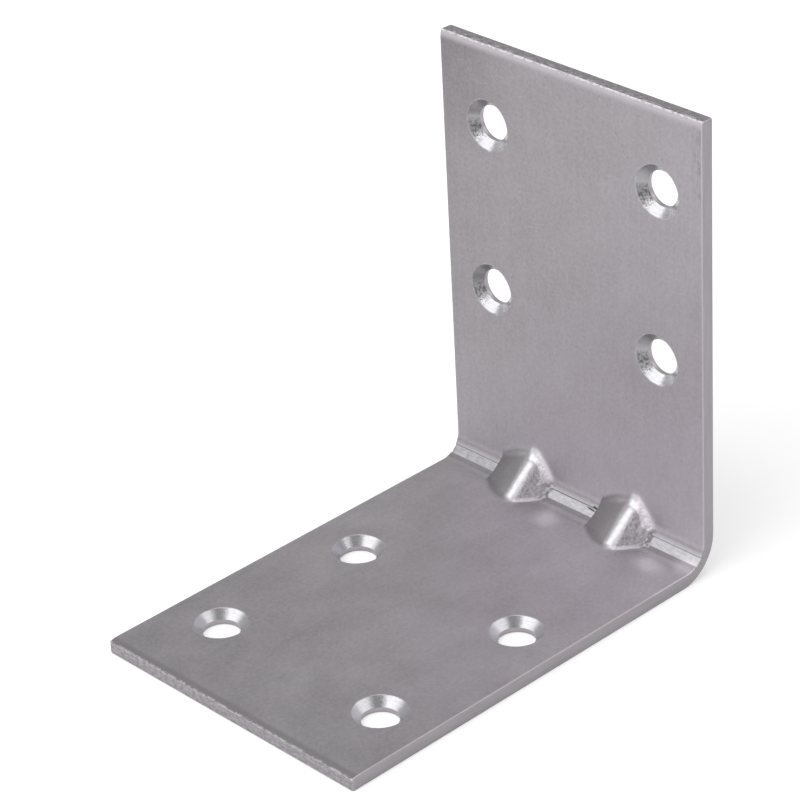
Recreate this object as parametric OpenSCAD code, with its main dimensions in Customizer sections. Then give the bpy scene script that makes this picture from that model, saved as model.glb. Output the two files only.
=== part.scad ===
// Corner brace bracket, pressed from one strip of zinc-plated steel sheet.
// The base leg lies on z = 0 and reaches towards -Y, the upright stands at the back and faces +Y.
// The origin is in the middle of the base's outline, on its underside.

/* [Legs] */
// Width of the strip
width = 41.5; // [34:0.5:90]
// Length of the base leg, from the back face to its sheared end
base_len = 60; // [50:1:120]
// Height of the upright, from the underside to its sheared end
upright_len = 60; // [50:1:120]
// Thickness of the sheet
sheet_t = 1.75; // [1.5:0.05:2.1]

/* [Bend] */
// Radius round the outside of the bend
bend_outer_r = 5.5; // [4.5:0.1:5.9]
// Radius inside the bend
bend_inner_r = 2.8; // [2.2:0.1:3.4]
// Width of the flat that the forming tool leaves along the inside of the bend
nose_flat_w = 1.2; // [0.8:0.1:1.5]
// Depth to which that flat is pressed into the inner radius
nose_flat_depth = 0.1; // [0.05:0.01:0.14]

/* [Stiffening darts] */
// Distance between the middles of the two darts
dart_spacing = 16.8; // [12:0.2:22]
// Width of a dart where it leaves the inner corner
dart_root_w = 9.8; // [8:0.1:11]
// How far a dart climbs each leg, from the inner corner
dart_climb = 4.9; // [4.2:0.1:5.8]
// Slope of a dart's two sides, from its root line
dart_slope = 44; // [42:1:46]
// Thickness of the stretched wall over a dart
dart_wall = 1.4; // [1.2:0.05:1.5]
// Radius along the bottom of the hollow behind a dart
hollow_nose_r = 1; // [0.5:0.1:1.4]

/* [Screw holes] */
// Diameter of a screw hole
hole_d = 4.5; // [3.5:0.1:5.4]
// Diameter of a countersink at the sheet's face
sink_d = 6.6; // [6.2:0.1:7.6]
// Angle of the countersink's cone
sink_angle = 90; // [82:1:100]
// Distance between the two columns of holes
column_spacing = 27; // [22:0.5:30]
// Distance between the two rows of holes
row_spacing = 22; // [12:0.5:24]
// Distance from a leg's sheared end to its outer row of holes
end_distance = 11; // [7:0.5:14]

/* [Sheared edges] */
// Width of the rolled band along a sheared end, on the inner face
roll_w = 1.3; // [0.8:0.1:2]
// Drop of the rolled band at the end
roll_drop = 0.17; // [0.08:0.01:0.3]
// Radius of the four corners, seen square to the sheet
corner_r = 0.3; // [0.2:0.1:2]
// Radius along the long edges of the inner faces
edge_r = 0.25; // [0.15:0.05:0.4]

/* [Hidden] */
$fn = 96;

// Extra reach of every cutter past the surface that it cuts
past = 1;
heel_y = base_len / 2;
inner_y = heel_y - sheet_t;
end_y = heel_y - base_len;
side_x = width / 2;
column_x = column_spacing / 2;

// The inner corner's distance from the outer corner, along the line that halves the bend
corner_depth = sheet_t * sqrt(2);
// Distance from the inner corner to the pressed flat, measured the same way
flat_depth = bend_inner_r * (sqrt(2) - 1) - nose_flat_depth;

// A dart's section has two sloping sides and a round nose that both sides run into
dart_half_w = dart_root_w / 2;
dart_height = dart_climb / sqrt(2);
dart_nose_r = (dart_half_w * sin(dart_slope) - dart_height * cos(dart_slope)) / (1 - cos(dart_slope));
hollow_height = dart_height - dart_wall;

// The rolled band is an arc that leaves the face smoothly and drops by roll_drop at the end
roll_r = (roll_w * roll_w + roll_drop * roll_drop) / (2 * roll_drop);

steel = [0.62, 0.61, 0.63];

// A block that spans the strip's width, between two corners given as [y, z]
module across(low, high, extra = 0) {
    translate([-side_x - extra, low[0], low[1]])
        cube([width + 2 * extra, high[0] - low[0], high[1] - low[1]]);
}

// A rod across the strip, with its middle line at [y, z]
module rod_across(centre, radius, extra = past) {
    translate([0, centre[0], centre[1]])
        rotate([0, 90, 0])
            cylinder(r = radius, h = width + 2 * extra, center = true);
}

// Flat base leg, lying on z = 0
module base_leg() {
    across([end_y, 0], [heel_y, sheet_t]);
}

// Flat upright leg, standing at the back
module upright_leg() {
    across([inner_y, 0], [heel_y, upright_len]);
}

// Metal that fills the inner corner out to its radius
module inner_fillet() {
    difference() {
        across([inner_y - bend_inner_r, sheet_t / 2], [inner_y + sheet_t / 2, sheet_t + bend_inner_r]);
        rod_across([inner_y - bend_inner_r, sheet_t + bend_inner_r], bend_inner_r);
    }
}

// What the nose of the forming tool presses out of the inner radius
module nose_flat() {
    translate([0, inner_y, sheet_t])
        rotate([45, 0, 0])
            translate([-side_x - past, -nose_flat_w / 2, flat_depth])
                cube([width + 2 * past, nose_flat_w, past]);
}

// Metal to take off the outer corner of the bend
module outer_round() {
    difference() {
        across([heel_y - bend_outer_r, -past], [heel_y + past, bend_outer_r], past);
        rod_across([heel_y - bend_outer_r, bend_outer_r], bend_outer_r, 2 * past);
    }
}

// A bar with a dart's section that crosses the corner at 45 degrees, top at height above the inner corner
module dart_bar(height, nose_r) {
    reach = 2 * (corner_depth + dart_height) + past;
    tangent_x = nose_r * sin(dart_slope);
    tangent_y = height - nose_r * (1 - cos(dart_slope));
    foot_y = -corner_depth - past;
    foot_x = tangent_x + (tangent_y - foot_y) / tan(dart_slope);
    translate([0, heel_y, 0])
        rotate([135, 0, 0])
            translate([0, corner_depth, 0]) {
                linear_extrude(height = reach, center = true)
                    polygon([[-foot_x, foot_y], [foot_x, foot_y], [tangent_x, tangent_y], [-tangent_x, tangent_y]]);
                translate([0, height - nose_r, 0])
                    cylinder(r = nose_r, h = reach, center = true);
            }
}

// One dart's metal, inside the outer faces of both legs
module dart() {
    intersection() {
        dart_bar(dart_height, dart_nose_r);
        across([end_y, 0], [heel_y, upright_len]);
    }
}

// Draws its children at the place of each dart
module at_darts() {
    for (side = [-1, 1])
        translate([side * dart_spacing / 2, 0, 0])
            children();
}

// Countersunk screw hole, made downwards from the face at z = 0
module screw_hole() {
    sink_depth = (sink_d - hole_d) / 2 / tan(sink_angle / 2);
    spread = past * tan(sink_angle / 2);
    translate([0, 0, -sheet_t - past])
        cylinder(d = hole_d, h = sheet_t + 2 * past);
    translate([0, 0, -sink_depth])
        cylinder(d1 = hole_d, d2 = sink_d + 2 * spread, h = sink_depth + past);
}

// Draws its children on the right side of the strip, and their mirror image on the left
module both_sides() {
    children();
    mirror([1, 0, 0]) children();
}

// Two rows of two holes, counted from a sheared end at y = 0 towards +Y, in the face at z = 0
module hole_group() {
    both_sides()
        for (row = [0, 1])
            translate([column_x, end_distance + row * row_spacing, 0])
                screw_hole();
}

// Metal to take off the face beside a sheared end at y = 0, so that it rolls down to the end
module rolled_band() {
    difference() {
        translate([-side_x - past, -past, -roll_drop])
            cube([width + 2 * past, roll_w + past, roll_drop + past]);
        translate([0, roll_w, -roll_r])
            rotate([0, 90, 0])
                cylinder(r = roll_r, h = width + 4 * past, center = true);
    }
}

// Metal to take off a corner of a sheared end at y = 0
module corner_round() {
    difference() {
        translate([side_x - corner_r, -past, -sheet_t - past])
            cube([corner_r + past, corner_r + past, sheet_t + 2 * past]);
        translate([side_x - corner_r, corner_r, -sheet_t - 2 * past])
            cylinder(r = corner_r, h = sheet_t + 4 * past);
    }
}

// Metal to take off a straight long edge of a face at z = 0, from y = 0 to y = length
module straight_edge_round(length) {
    difference() {
        translate([side_x - edge_r, -past, -edge_r])
            cube([edge_r + past, length + past, edge_r + past]);
        translate([side_x - edge_r, -2 * past, -edge_r])
            rotate([-90, 0, 0])
                cylinder(r = edge_r, h = length + 3 * past);
    }
}

// Metal to take off a long edge where it follows the inside of the bend
module bent_edge_round() {
    translate([0, inner_y - bend_inner_r, sheet_t + bend_inner_r])
        rotate([0, 90, 0])
            rotate_extrude(angle = 90)
                difference() {
                    translate([bend_inner_r - past, side_x - edge_r])
                        square([edge_r + past, edge_r + past]);
                    translate([bend_inner_r + edge_r, side_x - edge_r])
                        circle(r = edge_r);
                }
}

// All that is cut from a leg, with its sheared end at y = 0 and its inner face at z = 0
module leg_cuts(leg_len) {
    hole_group();
    rolled_band();
    both_sides() {
        corner_round();
        straight_edge_round(leg_len - sheet_t - bend_inner_r);
    }
}

// The whole strip, bent, pressed and drilled
module bracket() {
    color(steel)
        difference() {
            union() {
                difference() {
                    union() {
                        base_leg();
                        upright_leg();
                        inner_fillet();
                    }
                    nose_flat();
                }
                at_darts() dart();
            }
            outer_round();
            at_darts() dart_bar(hollow_height, hollow_nose_r);
            both_sides() bent_edge_round();
            translate([0, end_y, sheet_t])
                leg_cuts(base_len);
            translate([0, inner_y, upright_len])
                rotate([-90, 0, 0])
                    mirror([0, 0, 1])
                        leg_cuts(upright_len);
        }
}

bracket();
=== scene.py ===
"""Corner brace bracket, pressed from zinc-plated steel strip, on a pale floor under soft studio light."""

import math

import bmesh
import bpy
from mathutils import Matrix, Vector, kdtree, noise


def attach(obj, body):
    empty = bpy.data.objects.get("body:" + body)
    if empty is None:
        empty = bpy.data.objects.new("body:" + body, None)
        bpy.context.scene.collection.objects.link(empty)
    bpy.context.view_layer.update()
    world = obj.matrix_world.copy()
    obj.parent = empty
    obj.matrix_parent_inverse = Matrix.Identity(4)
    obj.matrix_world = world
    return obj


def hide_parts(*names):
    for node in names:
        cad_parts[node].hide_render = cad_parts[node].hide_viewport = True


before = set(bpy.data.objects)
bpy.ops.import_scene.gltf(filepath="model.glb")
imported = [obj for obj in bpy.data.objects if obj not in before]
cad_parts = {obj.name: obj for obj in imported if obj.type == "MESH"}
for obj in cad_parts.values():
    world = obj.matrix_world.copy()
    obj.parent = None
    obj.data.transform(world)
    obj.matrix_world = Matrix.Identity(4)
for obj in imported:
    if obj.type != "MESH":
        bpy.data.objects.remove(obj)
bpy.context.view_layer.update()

MM = 0.001

# The strip, in millimetres
WIDTH = 41.5
SIDE = WIDTH / 2
LEG = 60.0
SHEET = 1.75
HEEL_Y = LEG / 2
INNER_Y = HEEL_Y - SHEET
FRONT_Y = HEEL_Y - LEG
BEND_OUTER_R = 5.5
BEND_INNER_R = 2.8

# The inner corner, and the directions along a dart's line and from the corner into the open angle
ROOT_HALF = math.sqrt(0.5)
CORNER = Vector((0, INNER_Y, SHEET))
ALONG = Vector((0, ROOT_HALF, ROOT_HALF))
INTO = Vector((0, -ROOT_HALF, ROOT_HALF))

# The flat pressed along the inside of the bend: where it starts and ends, and its height over the corner
NOSE_FLAT = (-0.72, 0.5)
NOSE_FLAT_HEIGHT = 1.06

# The darts: their distance from the strip's middle, their height from the inner corner along the line that
# halves the bend, and how far from a dart's middle its right foot is and the pressing ends
DART_X = 8.4
DART_HEIGHT = 3.465
DART_FOOT = 4.65
DART_SPAN = 5.2

# The crest as pressed: how far it is right of a dart's middle, its drift over the dart's length, and the
# radius and end slope of each bend of the section from the crest to the left and to the right
CREST_SHIFT = 1.1
CREST_DRIFT = 0.1
CREST_BENDS = [[(1.8, math.radians(10)), (21.0, math.radians(24)), (0.3, math.radians(65))],
               [(1.8, math.radians(40))]]

# The soft turn between a dart's steep right face and its gentler foot, as round a hollow, and that foot's
# slope
SOFT_TURN = 0.3
FLARE_SLOPE = 0.42

# The hollows behind the darts
HOLLOW_HEIGHT = 2.065
HOLLOW_NOSE_R = 1.0
HOLLOW_SLOPE = math.radians(44)

# The screw holes, with the small rounding round a countersink's rim
HOLE_R = 2.25
SINK_R = 3.3
SINK_RIM_R = 0.12
HOLE_SIDES = 96
BASE, UPRIGHT = 0, 1

# Each screw hole as punched: its leg, its place across the strip, and along y on the base or z on the upright
SCREW_HOLES = [
    (BASE, -13.2, 3.3), (BASE, -13.5, -18.75), (BASE, 13.8, 3.15), (BASE, 13.65, -18.9),
    (UPRIGHT, -13.2, 49.45), (UPRIGHT, 13.85, 49.25), (UPRIGHT, -13.55, 27.3), (UPRIGHT, 13.5, 27.15),
]

# A hole's edge at the outer face and the foot of its countersink, as extra radius and height
PUNCHED_EDGE = [(0.3, -0.1), (0.1, 0.02), (0.02, 0.2), (0, 0.4)]
SINK_FOOT = [(0, -0.03), (0.01, 0), (0.04, 0.03)]

# The band rolled down beside a sheared end, and the roundings of that end's two edges
ROLL_W = 1.3
ROLL_DROP = 0.17
INNER_END_RIM = 0.12
OUTER_END_RIM = 0.18

# How far a long side's rounding draws in each face and the end, on the left (-1) and on the right (1)
RIMS = {-1: {"inner": 0.28, "outer": 0.4, "end": 0.45},
        1: {"inner": 0.16, "outer": 0.1, "end": 0.3}}

# The mesh: its columns beside each long side, the band that they fill, how far along the strip the bend's
# rows and its finest rows reach, the flat row beside a rolled band, and the columns across a dart
RIM_COLUMNS = {-1: (0, 0.02, 0.06, 0.12, 0.2, 0.3, 0.4, 0.46, 0.8),
               1: (0, 0.015, 0.05, 0.1, 0.16, 0.31, 0.5)}
SIDE_BAND = 1.0
BEND_REACH = 6.4
CURVE_REACH = 5.0
FLAT_ROW = 0.3
DART_COLUMNS = 80

# The camera, in degrees and millimetres
CAMERA_AZIMUTH = math.radians(47.22)
CAMERA_ELEVATION = math.radians(29.46)
CAMERA_ROLL = math.radians(-3.14)
CAMERA_DISTANCE = 390.9 * MM
CAMERA_TARGET = Vector((-0.61, 0.0, 28.69)) * MM
CAMERA_LENS = 153.12

# The lamps: azimuth and elevation in degrees, size in metres and power in watts
LAMP_DISTANCE = 0.9
LAMP_TARGET = Vector((0, 0, 30)) * MM
SOFTBOXES = [
    ("left_softbox", -20, 34, (1.35, 0.95), 4.8),
    ("right_softbox", 135, 42, (0.8, 0.6), 1.2),
    ("top_softbox", 0, 84, (0.5, 0.5), 1.2),
]
SKY_STRENGTH = 0.55

# The floor, with what lifts it to white for the camera and how much of that the metal shows
FLOOR_COLOUR = (0.86, 0.86, 0.86, 1)
FLOOR_GLOW = 0.33
GLOW_IN_METAL = 0.3

# The zinc's colours, from place to place and where it is burnished or cut
ZINC_TINTS = ((0.475, 0.443, 0.469, 1), (0.462, 0.441, 0.473, 1))
BARE_TINT = (0.456, 0.452, 0.472, 1)

# Scratches: their turn in degrees, their length and width, and the share of places that has one
SCRATCHES = ((12, (5.0, 0.09), 0.02), (-38, (4.0, 0.08), 0.012), (78, (3.0, 0.08), 0.012))

# Dark pits at the pressed flat's edge beside the right dart: x, t, half length and half height
PITS = ((3.45, 0.6, 0.35, 0.17), (2.95, 0.24, 0.75, 0.13))

# Painted reflections on the base beside the darts: x, y, half width, half depth and strength
PAINTED_REFLECTIONS = ((-1.0, 23.3, 2.0, 1.8, 0.3), (15.4, 23.9, 2.8, 1.5, 0.34), (19.6, 26.0, 1.8, 1.2, 0.45))

# Directions from a hole's middle, across the strip and along it, of painted reflections in the countersinks:
# the dark streak down one of the base and of the upright, the bright tips of one on the base, and the dark
# flecks of one on the upright
DARK_REFLECTION_WAYS = {BASE: (-0.734, 0.679), UPRIGHT: (-0.98, -0.2)}
BRIGHT_REFLECTION_WAY = (0.679, 0.734)
FLECK_REFLECTION_WAY = (-0.87, -0.5)


# Camera

def direction(azimuth, elevation):
    """Unit vector from the object towards a place at that azimuth and elevation."""
    return Vector((math.sin(azimuth) * math.cos(elevation),
                   -math.cos(azimuth) * math.cos(elevation),
                   math.sin(elevation)))


def make_camera():
    data = bpy.data.cameras.new("camera")
    data.lens = CAMERA_LENS
    data.clip_start = 0.01
    data.clip_end = 20
    camera = bpy.data.objects.new("camera", data)
    bpy.context.scene.collection.objects.link(camera)
    back = direction(CAMERA_AZIMUTH, CAMERA_ELEVATION)
    level = Vector((math.cos(CAMERA_AZIMUTH), math.sin(CAMERA_AZIMUTH), 0))
    upright = back.cross(level)
    right = math.cos(CAMERA_ROLL) * level + math.sin(CAMERA_ROLL) * upright
    up = back.cross(right)
    turn = Matrix((right, up, back)).transposed()
    camera.matrix_world = Matrix.Translation(CAMERA_TARGET + back * CAMERA_DISTANCE) @ turn.to_4x4()
    bpy.context.scene.camera = camera


# Shader maths

class Field:
    """A number or colour that changes over a surface, with arithmetic that adds Math nodes."""

    def __init__(self, finish, socket):
        self.finish = finish
        self.socket = socket

    def __add__(self, other):
        return self.finish.math("ADD", self, other)

    __radd__ = __add__

    def __mul__(self, other):
        return self.finish.math("MULTIPLY", self, other)

    __rmul__ = __mul__

    def __sub__(self, other):
        return self.finish.math("SUBTRACT", self, other)

    def __rsub__(self, other):
        return self.finish.math("SUBTRACT", other, self)

    def __truediv__(self, other):
        return self.finish.math("DIVIDE", self, other)

    def __abs__(self):
        return self.finish.math("ABSOLUTE", self)


class Finish:
    """The nodes of a material or world: node() adds one, and the other methods are short for it."""

    def __init__(self, owner):
        owner.use_nodes = True
        self.tree = owner.node_tree
        self.tree.nodes.clear()

    def node(self, kind, settings=None, inputs=None, out=0):
        made = self.tree.nodes.new(kind)
        for name, value in (settings or {}).items():
            setattr(made, name, value)
        for name, value in (inputs or {}).items():
            if isinstance(value, Field):
                self.tree.links.new(value.socket, made.inputs[name])
            else:
                made.inputs[name].default_value = value
        if isinstance(out, tuple):
            return [Field(self, made.outputs[number]) for number in out]
        return Field(self, made.outputs[out]) if made.outputs else None

    def math(self, operation, *values):
        return self.node("ShaderNodeMath", {"operation": operation}, dict(enumerate(values)))

    def least(self, a, b):
        return self.math("MINIMUM", a, b)

    def most(self, a, b):
        return self.math("MAXIMUM", a, b)

    def hypot(self, a, b):
        return self.math("SQRT", a * a + b * b)

    def step(self, value, start, end):
        """Goes smoothly from 0 to 1 while value goes from start to end."""
        return self.node("ShaderNodeMapRange", {"interpolation_type": "SMOOTHSTEP"},
                         {0: value, 1: start, 2: end})

    def within(self, value, low, high, soft):
        """1 where value is between low and high, with soft edges outside them."""
        return self.step(value, low - soft, low) * self.step(value, high + soft, high)

    def noise(self, place, scale, detail=2.0, roughness=0.5):
        return self.node("ShaderNodeTexNoise", None,
                         {"Vector": place, "Scale": scale, "Detail": detail, "Roughness": roughness})

    def vector(self, x, y, z):
        return self.node("ShaderNodeCombineXYZ", None, {0: x, 1: y, 2: z})

    def scaled(self, vector, factor):
        """A vector or colour times a number."""
        return self.node("ShaderNodeVectorMath", {"operation": "SCALE"}, {0: vector, 3: factor})

    def mix(self, share, first, second):
        """Colour mix of two colours or fields."""
        return self.node("ShaderNodeMix", {"data_type": "RGBA"}, {0: share, 6: first, 7: second}, out=2)

    def spots(self, place, radius, share):
        """1 inside round spots in a share of the cells of size 1 that fill place."""
        away, colour = self.node("ShaderNodeTexVoronoi", None, {"Vector": place, "Scale": 1.0}, out=(0, 1))
        pick = self.node("ShaderNodeSeparateColor", None, {0: colour})
        return self.step(away, radius, radius * 0.45) * self.math("LESS_THAN", pick, share)

    def scratches(self, across, along, turn, size, share):
        """1 on short fine lines, all turned by about the same angle."""
        c, s = math.cos(math.radians(turn)), math.sin(math.radians(turn))
        long = (along * c + across * s) / size[0]
        wide = (across * c - along * s) / size[1]
        return self.spots(self.vector(wide, long, turn), 0.5, share)


# Floor and light

def make_floor():
    """Pale floor that keeps the shadow, lifted to white for the camera and in part for the metal."""
    bpy.ops.mesh.primitive_plane_add(size=6, location=(0, 0, -0.00002))
    floor = bpy.context.object
    floor.name = "floor"
    material = bpy.data.materials.new("pale_floor")
    look = Finish(material)
    paper = look.node("ShaderNodeBsdfDiffuse", None, {"Color": FLOOR_COLOUR, "Roughness": 0.5})
    glow = look.node("ShaderNodeEmission", None, {"Color": (1, 1, 1, 1), "Strength": FLOOR_GLOW})
    dark = look.node("ShaderNodeEmission", None, {"Color": (0, 0, 0, 1), "Strength": 0.0})
    camera_ray, glossy_ray, transmission_ray = look.node("ShaderNodeLightPath", out=(0, 3, 6))
    seen = camera_ray + (glossy_ray + transmission_ray) * GLOW_IN_METAL
    lift = look.node("ShaderNodeMixShader", None, {0: seen, 1: dark, 2: glow})
    both = look.node("ShaderNodeAddShader", None, {0: paper, 1: lift})
    look.node("ShaderNodeOutputMaterial", None, {"Surface": both})
    floor.data.materials.append(material)


def make_softbox(name, azimuth, elevation, size, power):
    """Rectangular lamp at that place, turned towards the object."""
    data = bpy.data.lights.new(name, "AREA")
    data.shape = "RECTANGLE"
    data.size, data.size_y = size
    data.energy = power
    lamp = bpy.data.objects.new(name, data)
    bpy.context.scene.collection.objects.link(lamp)
    away = direction(math.radians(azimuth), math.radians(elevation))
    lamp.location = away * LAMP_DISTANCE + LAMP_TARGET
    lamp.rotation_euler = (-away).to_track_quat("-Z", "Y").to_euler()


def make_light():
    world = bpy.data.worlds.new("studio")
    bpy.context.scene.world = world
    look = Finish(world)
    sky = look.node("ShaderNodeBackground", None, {"Color": (1, 1, 1, 1), "Strength": SKY_STRENGTH})
    look.node("ShaderNodeOutputWorld", None, {"Surface": sky})
    for softbox in SOFTBOXES:
        make_softbox(*softbox)
    bpy.context.scene.view_settings.view_transform = "Standard"


# Working with a piece by hand

def set_mode(mode):
    bpy.ops.object.mode_set(mode=mode)


def select_only(piece):
    bpy.ops.object.select_all(action="DESELECT")
    piece.select_set(True)
    bpy.context.view_layer.objects.active = piece


def pick(kind, test):
    """In edit mode, selects only the edges or faces that test accepts."""
    bpy.ops.mesh.select_mode(type={"edges": "EDGE", "faces": "FACE"}[kind])
    bpy.ops.mesh.select_all(action="DESELECT")
    form = bmesh.from_edit_mesh(bpy.context.object.data)
    for item in getattr(form, kind):
        if test(item):
            item.select_set(True)
    form.select_flush_mode()
    bmesh.update_edit_mesh(bpy.context.object.data)


def start_line(name, first):
    """A new piece in edit mode that is one loose vertex, ready to be extruded into a line."""
    bpy.ops.object.select_all(action="DESELECT")
    bpy.ops.mesh.primitive_plane_add(size=1, location=(0, 0, 0))
    bpy.context.object.name = name
    set_mode("EDIT")
    bpy.ops.mesh.select_all(action="SELECT")
    bpy.ops.mesh.merge(type="CENTER")
    bpy.ops.transform.translate(value=first)
    return bpy.context.object


def draw_line(points):
    """Extrudes the selected vertex from point to point; the first point is where it is."""
    for here, there in zip(points, points[1:]):
        bpy.ops.mesh.extrude_region_move(TRANSFORM_OT_translate={"value": Vector(there) - Vector(here)})


def apply_modifiers(piece):
    select_only(piece)
    for modifier in list(piece.modifiers):
        bpy.ops.object.modifier_apply(modifier=modifier.name)


# The strip's section

def stations(*spans):
    """Values from the first start to the last end; each span is (start, end, number of steps)."""
    values = [spans[0][0]]
    for start, end, count in spans:
        values += [start + (end - start) * n / count for n in range(1, count + 1)]
    return values


def inner_height(t):
    """Height of the strip's inner face over the inner corner, t along the line of a dart."""
    run = abs(t)
    if NOSE_FLAT[0] < t < NOSE_FLAT[1]:
        return NOSE_FLAT_HEIGHT
    if run < BEND_INNER_R * ROOT_HALF:
        return BEND_INNER_R / ROOT_HALF - math.sqrt(BEND_INNER_R ** 2 - run ** 2)
    return run


def outer_height(t):
    """Height of the strip's outer face over the inner corner."""
    run = abs(t)
    if run < BEND_OUTER_R * ROOT_HALF:
        return BEND_OUTER_R / ROOT_HALF - math.sqrt(BEND_OUTER_R ** 2 - run ** 2) - SHEET / ROOT_HALF
    return run - SHEET / ROOT_HALF


def bend_point(t, height):
    """A point of the section, in (y, z), from its place along a dart's line and its height."""
    return (CORNER + t * ALONG + height * INTO).yz


def bend_place(point):
    """A point's distance along a dart's line and its height over the inner corner."""
    offset = point - CORNER
    return offset.dot(ALONG), offset.dot(INTO)


def is_inner(point):
    """Whether a point of the bend is nearer the inner face than the outer one."""
    t, height = bend_place(point)
    return height > outer_height(t) + 0.6


def rolled_band(steps=5, dense=0.58):
    """Distances from a sheared end and drops below the face, with most rows where the band starts."""
    radius = (ROLL_W ** 2 + ROLL_DROP ** 2) / (2 * ROLL_DROP)
    runs = [ROLL_W * dense * n / steps for n in range(steps + 1)] + [ROLL_W]
    return [(ROLL_W - run, radius - math.sqrt(radius ** 2 - run ** 2)) for run in runs]


def end_rim(corner, radius, first, last):
    """A rounded corner of the section, from a point that way to a point the other way."""
    start, end = corner + first * radius, corner + last * radius
    return [start.lerp(corner, n / 4).lerp(corner.lerp(end, n / 4), n / 4) for n in range(5)]


def strip_section():
    """The strip's section as a closed line of points in (y, z), each with the face that it is on."""
    crease = 0.02
    low, high = NOSE_FLAT
    outer_rows = stations((-BEND_REACH, BEND_REACH, 64))
    inner_rows = stations((-BEND_REACH, -CURVE_REACH, 6), (-CURVE_REACH, low - crease, 42),
                          (low - crease, low + crease, 1), (low + crease, high - crease, 10),
                          (high - crease, high + crease, 1), (high + crease, CURVE_REACH, 42),
                          (CURVE_REACH, BEND_REACH, 6))
    band = rolled_band()
    back, front, up, down = Vector((1, 0)), Vector((-1, 0)), Vector((0, 1)), Vector((0, -1))
    parts = [
        ("outer", end_rim(Vector((FRONT_Y, 0)), OUTER_END_RIM, up, back)),
        ("outer", [bend_point(t, outer_height(t)) for t in outer_rows]),
        ("outer", end_rim(Vector((HEEL_Y, LEG)), OUTER_END_RIM, down, front)),
        ("inner", end_rim(Vector((INNER_Y + ROLL_DROP, LEG)), INNER_END_RIM, back, down)),
        ("inner", [Vector((INNER_Y + drop, LEG - away)) for away, drop in reversed(band[:-1])]),
        ("inner", [Vector((INNER_Y, LEG - ROLL_W - FLAT_ROW))]),
        ("inner", [bend_point(t, inner_height(t)) for t in reversed(inner_rows)]),
        ("inner", [Vector((FRONT_Y + ROLL_W + FLAT_ROW, SHEET))]),
        ("inner", [Vector((FRONT_Y + away, SHEET - drop)) for away, drop in band[:-1]]),
        ("inner", end_rim(Vector((FRONT_Y, SHEET - ROLL_DROP)), INNER_END_RIM, back, down)),
    ]
    return [(point, face) for face, points in parts for point in points]


def outward(point, face):
    """Direction out of the metal at a point of the section, from one of the faces there."""
    y, z = point
    if face == "end":
        return Vector((-1, 0)) if y < 0 else Vector((0, 1))
    radius = BEND_INNER_R if face == "inner" else BEND_OUTER_R
    sheet = SHEET if face == "inner" else 0
    centre = Vector((HEEL_Y - sheet - radius, sheet + radius))
    way = 1 if face == "outer" else -1
    if y > centre.x and z < centre.y:
        return way * (point - centre).normalized()
    return Vector((0, -way)) if y < centre.x else Vector((way, 0))


def end_distance(point):
    """How far a point of the section is from the sheared end of its leg."""
    return min(point.x - FRONT_Y, LEG - point.y)


# The strip as a solid

def rim_inset(away, radius):
    """How far a rounding of that radius draws a face in, at that distance from the side."""
    return radius - math.sqrt(radius ** 2 - (radius - away) ** 2) if away < radius else 0


def round_sides(strip, section):
    """Draws the faces and the ends in beside both long sides, so that the sides are rounded."""
    places = kdtree.KDTree(len(section))
    for number, (point, face) in enumerate(section):
        places.insert((0, *point), number)
    places.balance()
    for vertex in strip.data.vertices:
        point, face = section[places.find((0, *vertex.co.yz))[1]]
        rims = RIMS[1 if vertex.co.x > 0 else -1]
        away = SIDE - abs(vertex.co.x)
        near_end = max(1 - end_distance(point) / (ROLL_W + FLAT_ROW), 0)
        vertex.co.yz -= rim_inset(away, rims[face]) * outward(point, face)
        vertex.co.yz -= near_end * rim_inset(away, rims["end"]) * outward(point, "end")


def extrude_strip():
    """The whole strip as a solid, extruded from its left side to its right side."""
    section = strip_section()
    points = [Vector((-SIDE, *point)) for point, face in section]
    strip = start_line("brace", points[0])
    draw_line(points)
    bpy.ops.mesh.select_all(action="SELECT")
    bpy.ops.mesh.edge_face_add()
    left = [away - SIDE for away in RIM_COLUMNS[-1]]
    right = [SIDE - away for away in reversed(RIM_COLUMNS[1])]
    columns = left + right
    for here, there in zip(columns, columns[1:]):
        bpy.ops.mesh.extrude_region_move(TRANSFORM_OT_translate={"value": (there - here, 0, 0)})
    bpy.ops.mesh.select_all(action="SELECT")
    bpy.ops.mesh.normals_make_consistent(inside=False)
    set_mode("OBJECT")
    round_sides(strip, section)
    return strip


# The screw holes

def sink_rim():
    """The rounding round a countersink's rim, and the radius at which it meets the face."""
    touch = SINK_RIM_R * math.tan(math.radians(22.5))
    rim = []
    for n in range(5):
        turn = math.radians(45 - 11.25 * n)
        rim.append((SINK_R + touch - SINK_RIM_R * math.sin(turn),
                    -SINK_RIM_R * (1 - math.cos(turn)) + 0.002))
    return rim, SINK_R + touch


def screw_cutter():
    """What a screw hole takes out of the sheet, made downwards from the face at z = 0."""
    past = 1
    tool = start_line("cutter", (0, 0, -SHEET - past))
    rim, rim_radius = sink_rim()
    sink_depth = SINK_R - HOLE_R
    outline = [(0, -SHEET - past), (HOLE_R + PUNCHED_EDGE[0][0], -SHEET - past)]
    outline += [(HOLE_R + wider, -SHEET + height) for wider, height in PUNCHED_EDGE]
    outline += [(HOLE_R + wider, -sink_depth + height) for wider, height in SINK_FOOT]
    outline += [*rim, (rim_radius, past), (0, past)]
    draw_line([Vector((r, 0, z)) for r, z in outline])
    bpy.ops.mesh.select_all(action="SELECT")
    bpy.ops.mesh.spin(steps=HOLE_SIDES, angle=math.tau, center=(0, 0, 0), axis=(0, 0, 1))
    bpy.ops.mesh.select_all(action="SELECT")
    bpy.ops.mesh.remove_doubles(threshold=0.0005)
    bpy.ops.mesh.normals_make_consistent(inside=False)
    set_mode("OBJECT")
    return tool


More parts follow.
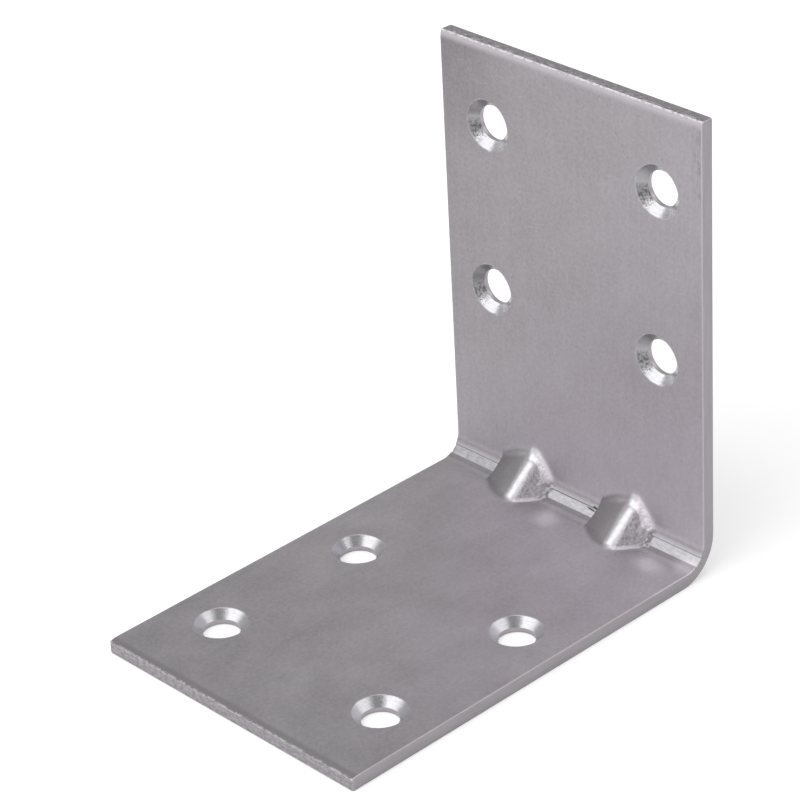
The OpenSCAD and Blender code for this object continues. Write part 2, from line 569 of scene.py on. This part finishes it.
def drill(strip):
    """Cuts the eight countersunk holes."""
    first = screw_cutter()
    tools = []
    for leg, x, v in SCREW_HOLES:
        place = Matrix.Translation((x, v, SHEET))
        if leg == UPRIGHT:
            place = Matrix.Translation((x, INNER_Y, v)) @ Matrix.Rotation(math.radians(90), 4, "X")
        tool = first.copy()
        tool.data = first.data.copy()
        tool.data.transform(place)
        bpy.context.scene.collection.objects.link(tool)
        tools.append(tool)
    bpy.data.objects.remove(first)
    select_only(tools[0])
    for tool in tools:
        tool.select_set(True)
    bpy.ops.object.join()
    cut = strip.modifiers.new("holes", "BOOLEAN")
    cut.operation = "DIFFERENCE"
    cut.solver = "EXACT"
    cut.object = tools[0]
    apply_modifiers(strip)
    bpy.data.objects.remove(tools[0])


# The darts

def in_bend(face):
    """Whether a face is one of the rows between the two ends of the bend's fine mesh."""
    middle = face.calc_center_median()
    in_rows = abs(bend_place(middle)[0]) < BEND_REACH and abs(face.normal.x) < 0.1
    return in_rows and abs(middle.x) < SIDE - SIDE_BAND


def split_bend(strip):
    """Columns of small squares across the bend, finest where the darts go."""
    select_only(strip)
    set_mode("EDIT")
    near, far = DART_X - DART_SPAN, DART_X + DART_SPAN
    for x in (-far, -near, near, far):
        pick("faces", in_bend)
        bpy.ops.mesh.bisect(plane_co=(x, 0, 0), plane_no=(1, 0, 0))
    spans = [(-SIDE, -far, 9), (-far, -near, DART_COLUMNS), (-near, near, 13), (near, far, DART_COLUMNS),
             (far, SIDE, 9)]
    for low, high, count in spans:
        def in_span(edge):
            a, b = (v.co for v in edge.verts)
            is_row = abs(a.x - b.x) > SIDE_BAND and (a - b).yz.length < 0.001
            return is_row and low < (a.x + b.x) / 2 < high and abs(bend_place(a)[0]) < BEND_REACH + 0.01
        pick("edges", in_span)
        bpy.ops.mesh.subdivide(number_cuts=count - 1)
    set_mode("OBJECT")


def blend_up(a, b, reach):
    """The higher of two heights, with a soft turn between them."""
    near = max(reach - abs(a - b), 0)
    return max(a, b) + near * near / (4 * reach)


def soft_step(value, start, end):
    """Goes smoothly from 0 to 1 while value goes from start to end."""
    share = min(max((value - start) / (end - start), 0), 1)
    return share * share * (3 - 2 * share)


def ripple(place, size, seed):
    """Smooth unevenness between about -1 and 1, with waves of about that size."""
    return noise.noise(Vector(place) / size + Vector((seed, 7.3 * seed, -3.1 * seed)))


def hollow_height(run):
    """Height of a hollow's section at that distance from its middle."""
    shoulder = HOLLOW_NOSE_R * math.sin(HOLLOW_SLOPE)
    if run < shoulder:
        return HOLLOW_HEIGHT - HOLLOW_NOSE_R + math.sqrt(HOLLOW_NOSE_R ** 2 - run ** 2)
    start = HOLLOW_HEIGHT - HOLLOW_NOSE_R * (1 - math.cos(HOLLOW_SLOPE))
    return start - (run - shoulder) * math.tan(HOLLOW_SLOPE)


def skewed_height(from_crest):
    """Height of a dart's section as pressed, with its gentler flank left of the crest."""
    run = abs(from_crest)
    bends = CREST_BENDS[from_crest > 0]
    height, start, begun = DART_HEIGHT, 0.0, 0.0
    for radius, slope in bends:
        end = begun + radius * (math.sin(slope) - math.sin(start))
        if run < end:
            turn = math.asin(math.sin(start) + (run - begun) / radius)
            return height - radius * (math.cos(start) - math.cos(turn))
        height -= radius * (math.cos(start) - math.cos(slope))
        start, begun = slope, end
    return height - (run - begun) * math.tan(start)


def foot_blend(from_ridge, t):
    """Width of the soft turn between a dart and the legs: more at its ends, most of all up its right side."""
    ends = 0.1 + 0.6 * soft_step(abs(t), 0.8, 2.4)
    upper_right = 0.5 * soft_step(from_ridge, 0.0, 1.0) * soft_step(t, 0.7, 1.6)
    left_flank = soft_step(-from_ridge, -0.5, 1.5) * soft_step(from_ridge, -4.7, -2.4)
    return ends + upper_right + 0.35 * left_flank * soft_step(abs(t), 1.2, 2.3)


def crinkle(x, from_ridge, t):
    """Small folds where a dart's right face ends at the pressed flat."""
    place = soft_step(from_ridge, 3.2, 4.0) * soft_step(DART_SPAN - from_ridge, 0.1, 0.5)
    return 0.16 * ripple((x * 1.6, t, 0), 0.5, 5) * place * (1 - soft_step(abs(t), 0.9, 1.6))


def pressed_height(x, t, height):
    """Height of the inner face after the darts are pressed up through it."""
    from_ridge = x - math.copysign(DART_X, x)
    dart = skewed_height(from_ridge - CREST_SHIFT - CREST_DRIFT * t)
    flare = NOSE_FLAT_HEIGHT + (DART_FOOT - from_ridge) * FLARE_SLOPE if from_ridge > 0 else 0.0
    dart = blend_up(dart, flare, SOFT_TURN) + 0.03 * ripple((x, t, 0), 2.1, 3)
    raised = blend_up(height, dart, foot_blend(from_ridge, t))
    pressed = soft_step(raised - height, 0.05, 0.5)
    peel = 0.03 * ripple((x, t, 0), 0.55, 1) + 0.02 * ripple((x, t, 0), 0.28, 2)
    stretched = soft_step(from_ridge, 1.7, 2.3) * soft_step(4.9 - from_ridge, 0, 0.8)
    return raised + pressed * peel * (0.1 + stretched) + crinkle(x, from_ridge, t)


def press_darts(strip):
    """Moves the bend's vertices: the darts rise on the inner face, and their hollows behind them."""
    for vertex in strip.data.vertices:
        x = vertex.co.x
        t, height = bend_place(vertex.co)
        from_dart = abs(abs(x) - DART_X)
        if from_dart > DART_SPAN + 0.01 or abs(t) > BEND_REACH + 0.01:
            continue
        if is_inner(vertex.co):
            pressed = pressed_height(x, t, height)
        else:
            pressed = blend_up(height, hollow_height(from_dart), SOFT_TURN)
        vertex.co += (pressed - height) * INTO


# The whole brace

def smooth_strip(strip):
    """Smooth shading with crisp edges, and large flat faces that stay flat."""
    select_only(strip)
    bpy.ops.object.shade_smooth_by_angle(angle=math.radians(48))
    weighted = strip.modifiers.new("flat_faces", "WEIGHTED_NORMAL")
    weighted.mode = "FACE_AREA"
    weighted.weight = 100
    weighted.keep_sharp = True
    apply_modifiers(strip)


def make_brace():
    strip = extrude_strip()
    drill(strip)
    split_bend(strip)
    press_darts(strip)
    smooth_strip(strip)
    strip.data.transform(Matrix.Scale(MM, 4))
    strip.data.materials.clear()
    strip.data.materials.append(zinc_plate())
    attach(strip, "root")
    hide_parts("bracket")


# The zinc plating

class Plating(Finish):
    """The strip's finish, laid out in millimetres by place on it, in layers from plain to fine."""

    def __init__(self, material):
        super().__init__(material)
        self.place = self.scaled(self.node("ShaderNodeTexCoord", out=3), 1 / MM)
        self.x, self.y, self.z = self.node("ShaderNodeSeparateXYZ", None, {0: self.place}, out=(0, 1, 2))
        # Place along a dart's line and height over the inner corner, as in the bend's mesh
        self.along = self.y + self.z - (INNER_Y + SHEET)
        self.t = self.along * ROOT_HALF
        self.run = abs(self.t)
        self.height = (self.z - self.y + (INNER_Y - SHEET)) * ROOT_HALF
        # 1 on the inner faces but not on the slit sides, and 1 on the upright
        on_face = self.step(abs(self.x), SIDE - 0.004, SIDE - 0.03)
        self.inside = self.step(self.height - self.run, -0.6, -0.5) * on_face
        self.upright = self.math("GREATER_THAN", self.along, 0.0)
        # Place along the leg, and depth below its inner face
        self.v = self.y + (self.z - self.y) * self.upright
        self.depth = (SHEET - self.z) + (self.y - INNER_Y - SHEET + self.z) * self.upright
        # What the layers build up: tone, roughness, relief in millimetres, and a mask of bare bright metal
        self.tone = 1.0
        self.rough = 0.38
        self.relief = 0.0
        self.bare = 0.0

    def lay(self, mask, tone, rough=None):
        """Draws the tone, and the roughness if it is given, towards new values where mask is 1."""
        self.tone = self.tone + (tone - self.tone) * mask
        if rough is not None:
            self.rough = self.rough + (rough - self.rough) * mask


def lay_sheet(skin):
    """The rolled and plated sheet: clouds, faint streaks along the strip, a fine grain, and painted light by
    place.
    """
    cloud = skin.noise(skin.place, 0.17, 3.0, 0.6) - 0.5
    patch = skin.noise(skin.place, 0.045, 1.0) - 0.5
    streak = skin.noise(skin.vector(skin.x * 1.6, skin.v * 0.07, skin.depth), 1.0, 3.0) - 0.5
    grain = skin.noise(skin.place, 2.4, 3.0, 0.65) - 0.5
    # Painted light by place: the upright lighter towards its foot and the base lighter towards the bend; the
    # upright is also darker at its top left and a little lighter to the right
    top_left = skin.step(skin.z, 40.0, 58.0) * skin.step(skin.x, -4.0, -20.0)
    upright = 0.895 + skin.x * 0.0038 - top_left * 0.17 + skin.step(skin.z, 30.0, 8.0) * 0.13
    base = 0.93 + skin.step(skin.y, -20.0, 0.0) * 0.08
    skin.tone = base + (upright - base) * skin.step(skin.along, -1.5, 1.5)
    clouding = cloud * (0.4 - skin.upright * 0.2)
    skin.tone = skin.tone + clouding + patch * 0.12 + streak * 0.1 + grain * 0.42
    skin.rough = 0.38 + cloud * 0.16 + grain * 0.14
    skin.relief = grain * 0.016


def lay_wear(skin):
    """Specks in the plating, rub marks near the upright's right edge, and a few fine scratches."""
    specks = skin.spots(skin.scaled(skin.place, 0.55), 0.12, 0.35)
    skin.lay(specks * 0.45, tone=0.65)
    rub = skin.noise(skin.vector(skin.x * 2.0, skin.y, skin.z * 0.7), 1.0, 4.0, 0.75)
    reach = skin.step(skin.x, SIDE - 2.2, SIDE - 0.2) * skin.step(skin.z, 40.0, 56.0)
    skin.lay(reach * skin.step(rub, 0.5, 0.62) * 0.7, tone=0.62, rough=0.45)
    for turn, size, share in SCRATCHES:
        skin.lay(skin.scratches(skin.x, skin.along, turn, size, share) * 0.4, tone=1.25, rough=0.3)


def lay_ends(skin):
    """The sheared ends, with the rolled band beside them (painted shade on the base, painted highlight on the
    upright), the ragged bright line as a painted highlight, and the upright's end face painted darker as
    shade.
    """
    away = skin.least(skin.y - FRONT_Y, LEG - skin.z)
    ragged = skin.noise(skin.place, 1.7, 4.0, 0.7)
    # The rolled band: painted shade on the base and painted highlight on the upright
    band = skin.step(away, ROLL_W, 0.5) * skin.inside
    skin.lay(band * (0.8 + ragged * 0.4), tone=0.68 + skin.upright * 0.46)
    # Painted highlight along the ragged burr line at each end's inner edge
    line = skin.within(away, 0.0, 0.2, 0.1) * skin.inside * skin.step(ragged, 0.42, 0.55)
    skin.lay(line, tone=1.5 + skin.upright * 0.35, rough=0.25)
    cut = skin.step(away, 0.06, 0.02)
    shear = skin.noise(skin.vector(skin.x * 1.5, skin.y * 2.4, skin.z * 2.4), 1.0, 4.0, 0.75)
    torn = skin.step(shear, 0.36, 0.66)
    # The upright's end face, which faces up, is painted 0.1 darker as shade
    skin.lay(cut, tone=0.74 + torn * 0.4 - skin.upright * 0.1, rough=0.5 - torn * 0.1)
    flake = skin.noise(skin.vector(skin.x * 0.9, skin.y * 2.6, skin.z * 2.6), 1.0, 4.0, 0.8)
    inner_half = skin.upright * cut * skin.step(skin.depth, 0.95, 0.5)
    skin.lay(inner_half * skin.step(flake, 0.53, 0.6) * 0.8, tone=1.9, rough=0.3)
    skin.lay(inner_half * skin.step(flake, 0.45, 0.38) * 0.7, tone=0.35)


def lay_sides(skin):
    """The slit long sides: a painted highlight along the right inner edge, and marks along the slit faces."""
    # Painted highlight: a thin bright line along the right inner edge
    edge = skin.within(skin.x, SIDE - 0.17, SIDE - 0.06, 0.05) * skin.inside
    skin.lay(edge * 0.7, tone=1.35, rough=0.28)
    side = skin.step(abs(skin.x), SIDE - 0.03, SIDE - 0.01)
    marks = skin.noise(skin.vector(skin.x, skin.v * 0.15, skin.depth * 3.0), 1.0, 3.0, 0.7) - 0.5
    skin.lay(side, tone=0.86 + marks * 0.3)


def lay_strip(skin):
    """The flat pressed along the inside of the bend: burnished, with painted shade in the bend's curve beside
    it and painted shade lines in the creases on both sides.
    """
    low, high = NOSE_FLAT
    bend = skin.step(skin.height, 1.6, 1.4) * skin.inside
    patch = skin.noise(skin.vector(skin.x, skin.t * 2.0, 0.0), 1.2, 3.0, 0.7)
    smear = skin.noise(skin.vector(skin.x * 0.5, skin.t * 5.0, 0.0), 1.0, 3.0, 0.7)
    # Darker at the strip's left end and lighter at its right end
    darkening = skin.step(skin.x, -12.0, -14.0) * 0.16 - skin.step(skin.x, 17.0, 20.5) * 0.12
    flat = skin.within(skin.t, low + 0.1, high - 0.14, 0.12) * bend
    # Painted shade in the curve of the bend round the pressed flat
    skin.lay(skin.within(skin.run, 0.5, 1.3, 0.9) * bend * 0.26, tone=0.0)
    skin.bare = skin.bare + flat * 0.7
    skin.lay(flat, tone=0.2 + patch * 0.95 + smear * 0.45 - darkening, rough=0.3 + patch * 0.16)
    between_darts = skin.within(skin.x, -3.6, 3.6, 0.5)
    # Painted shade line in the crease at the pressed flat's upper edge, darkest between the darts
    groove = skin.within(skin.t, high, high + 0.05, 0.05) * bend
    skin.lay(groove * (0.15 + between_darts * 0.65), tone=0.35)
    # Painted shade line in the crease at the pressed flat's lower edge
    lower_line = skin.within(skin.t, low - 0.12, low - 0.04, 0.06) * bend
    skin.lay(lower_line * 0.5, tone=0.6)
    for x, t, wide, deep in PITS:
        away = skin.hypot((skin.x - x) / wide, (skin.t - t + (skin.x - x) * 0.1) / deep)
        skin.lay(skin.step(away, 1.2, 0.7) * bend * 0.9, tone=0.12)


def lay_painted_reflections(skin):
    """Painted reflections on the base: bright patches to the right of each dart's foot."""
    on_base = skin.inside * skin.step(skin.height, 5.0, 4.5)
    for x, y, wide, deep, strength in PAINTED_REFLECTIONS:
        away = skin.hypot((skin.x - x) / wide, (skin.y - y) / deep)
        skin.lay(skin.step(away, 1.5, 0.2) * on_base * strength, tone=2.0, rough=0.3)


def dart_rise(skin, from_ridge):
    """How far the inner face is raised by a dart, in millimetres."""
    shoulder = BEND_INNER_R * ROOT_HALF
    left_over = skin.most(BEND_INNER_R ** 2 - skin.run * skin.run, 0.0)
    arc = BEND_INNER_R / ROOT_HALF - skin.math("SQRT", left_over)
    face = skin.most(skin.run, arc * skin.step(skin.run, shoulder + 0.01, shoulder))
    return (skin.height - face) * skin.step(abs(from_ridge), 5.3, 5.1) * skin.inside


def lay_darts(skin):
    """The darts: painted shade on the left flanks and foot creases, burnished ridges with painted highlights,
    rough right faces, and painted highlights on the seams round those.
    """
    from_ridge = skin.x - skin.math("SIGN", skin.x) * DART_X
    raised = dart_rise(skin, from_ridge)
    dart = skin.step(raised, 0.02, 0.25)
    wobble = skin.noise(skin.place, 1.3, 3.0, 0.7) - 0.5
    peel = skin.noise(skin.place, 3.0, 3.0, 0.8)
    # Painted shade on the left flank, lightening a little towards the crest
    flank = skin.step(from_ridge, 0.7, -0.1) * dart
    skin.lay(flank, tone=0.47 + skin.step(from_ridge, -4.5, 0.0) * 0.08 + peel * 0.26, rough=0.38)
    above = skin.step(skin.t, -0.6, 0.2)
    edge = 0.4 + above * 0.7 + wobble * 0.5
    right = skin.step(from_ridge, 1.5, 2.0)
    facet = right * skin.step(raised - edge, -0.12, 0.15)
    skin.lay(facet, tone=0.1 + peel * 1.75, rough=0.42)
    skin.relief = skin.relief + right * dart * peel * 0.1
    # Painted highlights on the seams round the right face, broadest up its upper side
    seam_highlight = skin.step(raised, 0.02, 0.2) * skin.step(raised - edge, 0.1, -0.15)
    seam_highlight = seam_highlight * skin.step(from_ridge, 0.5, 1.2)
    seam_highlight = seam_highlight * skin.most(skin.step(skin.run, 0.6, 0.9), skin.step(from_ridge, 3.6, 3.0))
    skin.lay(seam_highlight * (0.35 + above * 0.5), tone=1.75 + wobble * 0.9, rough=0.3)
    from_crest = from_ridge - CREST_SHIFT - skin.t * CREST_DRIFT
    # The ridge: burnished, with a painted highlight along it
    burnished_ridge_highlight = skin.step(from_crest, -0.9, -0.1) * skin.step(from_crest, 0.75, 0.3) * dart
    skin.bare = skin.bare + burnished_ridge_highlight
    skin.lay(burnished_ridge_highlight * skin.within(skin.t, -2.9, 1.9, 0.5), tone=1.35 + wobble * 1.1, rough=0.3)
    # Painted shade along the crease at the left flank's foot
    crease = skin.step(raised, 0.01, 0.05) * skin.step(raised, 0.3, 0.15)
    crease = crease * skin.step(from_ridge, -3.6, -4.2) * skin.step(skin.run, 2.0, 1.2)
    skin.lay(crease * 0.7, tone=0.45)


def hole_places(skin):
    """1 near a screw hole, and the place from its middle across the strip and along it."""
    near = across = lengthways = 0.0
    reach = 5.0
    for leg, hole_x, hole_v in SCREW_HOLES:
        here = skin.math("COMPARE", skin.x, hole_x, reach) * skin.math("COMPARE", skin.v, hole_v, reach)
        here = here * (skin.upright if leg == UPRIGHT else 1 - skin.upright)
        near = near + here
        across = across + here * (skin.x - hole_x)
        lengthways = lengthways + here * (skin.v - hole_v)
    return near, across, lengthways


def lay_holes(skin):
    """The countersinks: turned and shiny, with rings and blots, painted reflections and a painted highlight
    round the rim, over a matt straight wall.
    """
    near, across, lengthways = hole_places(skin)
    radius = skin.hypot(across, lengthways)

    def towards(way):
        """1 straight that way from a hole's middle, and -1 straight away from it."""
        return (across * way[0] + lengthways * way[1]) / radius

    near = near * skin.step(skin.depth, SHEET - 0.03, SHEET - 0.12)
    cone = near * skin.step(skin.depth, 0.03, 0.08) * skin.step(radius, SINK_R + 0.3, SINK_R + 0.1)
    rings = skin.noise(skin.vector(radius * 6.0, across * 0.35, lengthways * 0.35), 1.0, 3.0, 0.7)
    blots = skin.noise(skin.place, 1.9, 4.0, 0.8)
    # Painted highlight in patches round the countersink's rim
    rim = near * skin.within(radius, SINK_R, SINK_R + 0.1, 0.07)
    skin.lay(rim * skin.step(blots, 0.45, 0.6) * 0.6, tone=1.35, rough=0.28)
    skin.lay(cone, tone=0.65 + rings * 0.6 + blots * 0.7, rough=0.15 + blots * 0.2)
    # Painted dark reflection: a streak down each countersink, the same way round in every hole
    base_dark_reflection, upright_dark_reflection = towards(DARK_REFLECTION_WAYS[BASE]), towards(DARK_REFLECTION_WAYS[UPRIGHT])
    turned = base_dark_reflection + (upright_dark_reflection - base_dark_reflection) * skin.upright
    streak = skin.step(turned + (blots - 0.5) * 0.12, 0.94, 0.99)
    skin.lay(cone * streak * 0.8, tone=0.72)
    # Painted shade on the upper part of each countersink of the upright
    darkening = skin.upright * skin.step(lengthways / radius, -0.15, 0.25)
    skin.lay(cone * darkening * 0.75, tone=0.88 + (blots - 0.5) * 0.4, rough=0.34)
    # Painted bright reflections at the tips of each countersink of the base
    side = towards(BRIGHT_REFLECTION_WAY)
    bright_reflection_tips = skin.step(abs(side), 0.55, 0.9) * (1 - skin.upright)
    skin.lay(cone * bright_reflection_tips * 0.8, tone=1.3 - side * 0.35 + (blots - 0.5) * 0.5, rough=0.36)
    # Painted dark flecks of reflection on one side of each countersink of the upright
    fleck = skin.noise(skin.place, 3.2, 3.0, 0.7)
    fleck_reflection = skin.upright * skin.step(towards(FLECK_REFLECTION_WAY), 0.8, 0.97) * skin.step(fleck, 0.52, 0.44)
    skin.lay(cone * fleck_reflection * 0.75, tone=0.3)
    # Dark blots, most of them along the painted dark streak
    skin.lay(cone * skin.step(blots, 0.4, 0.33) * (0.1 + streak * 0.5), tone=0.4)
    bottom = SINK_R - HOLE_R
    wall = near * skin.step(skin.depth, bottom - 0.03, bottom + 0.02) * skin.step(radius, 3.0, 2.6)
    skin.lay(wall, tone=0.95 + blots * 0.3, rough=0.4)
    skin.bare = skin.bare + cone - wall


def zinc_plate():
    material = bpy.data.materials.new("zinc_plated_steel")
    skin = Plating(material)
    for lay in (lay_sheet, lay_wear, lay_ends, lay_sides, lay_strip, lay_painted_reflections, lay_darts, lay_holes):
        lay(skin)
    tint = skin.mix(skin.noise(skin.place, 0.09), *ZINC_TINTS)
    tint = skin.mix(skin.most(skin.least(skin.bare, 1.0), 0.0), tint, BARE_TINT)
    colour = skin.scaled(tint, skin.tone)
    bump = skin.node("ShaderNodeBump", None, {"Strength": 1.0, "Distance": MM, "Height": skin.relief})
    steel = skin.node("ShaderNodeBsdfPrincipled", None,
                      {"Base Color": colour, "Metallic": 0.92, "Roughness": skin.rough, "Normal": bump})
    skin.node("ShaderNodeOutputMaterial", None, {"Surface": steel})
    return material


make_camera()
make_floor()
make_light()
make_brace()

bpy.context.view_layer.update()
